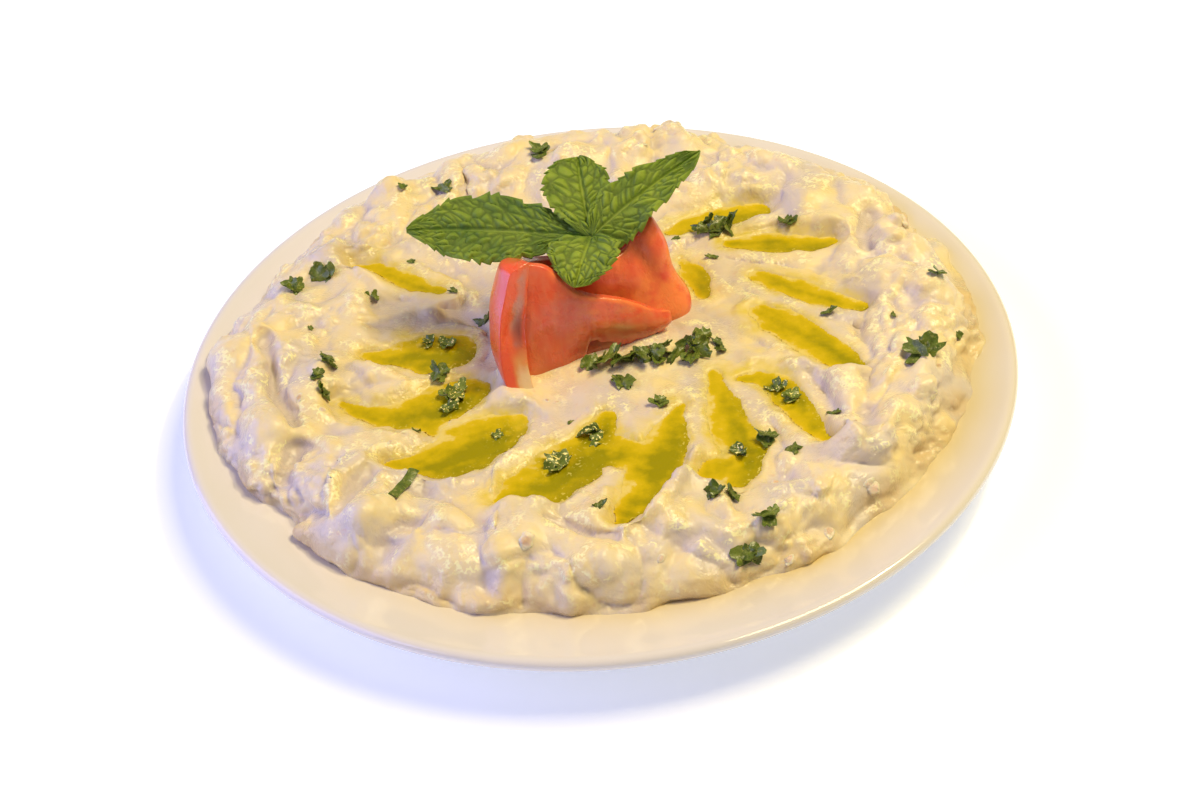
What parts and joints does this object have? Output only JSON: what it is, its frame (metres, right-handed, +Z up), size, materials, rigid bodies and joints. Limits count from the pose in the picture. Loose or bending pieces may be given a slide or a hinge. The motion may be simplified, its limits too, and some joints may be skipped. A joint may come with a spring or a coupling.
{
  "type": "plated creamy aubergine dip",
  "caption": "Creamy aubergine dip spread on a shallow round plate, with oil pools, parsley, a curled tomato rose and a mint sprig.",
  "frame": {"origin": "centre of the plate on the surface it stands on", "axes": "+Z up, the diner faces along +Y, +X to the diner's right"},
  "size_m": [0.25, 0.25, 0.0699],
  "materials": {
    "plate_glaze": "smooth glossy cream white glaze",
    "dip": "moist lumpy pale cream with glossy highlights",
    "oil": "clear golden green liquid, wet gloss",
    "tomato": "glossy orange red skin, wet translucent flesh",
    "mint": "quilted satin leaf",
    "parsley": "dark green chopped leaf, moist"
  },
  "bodies": {
    "root": {"plate": "plate_glaze", "dip": "dip", "oil_left_back": "oil", "oil_left_middle": "oil", "oil_left_front": "oil", "oil_front": "oil", "oil_right_front": "oil", "oil_right_middle": "oil", "oil_right_lower": "oil", "oil_right_streak": "oil", "oil_right_upper": "oil", "oil_right_back": "oil", "oil_by_tomato": "oil", "oil_back_left": "oil", "tomato_outer": "tomato", "tomato_front": "tomato", "tomato_inner": "tomato", "mint_sprig": "mint"}
  },
  "joints": []
}
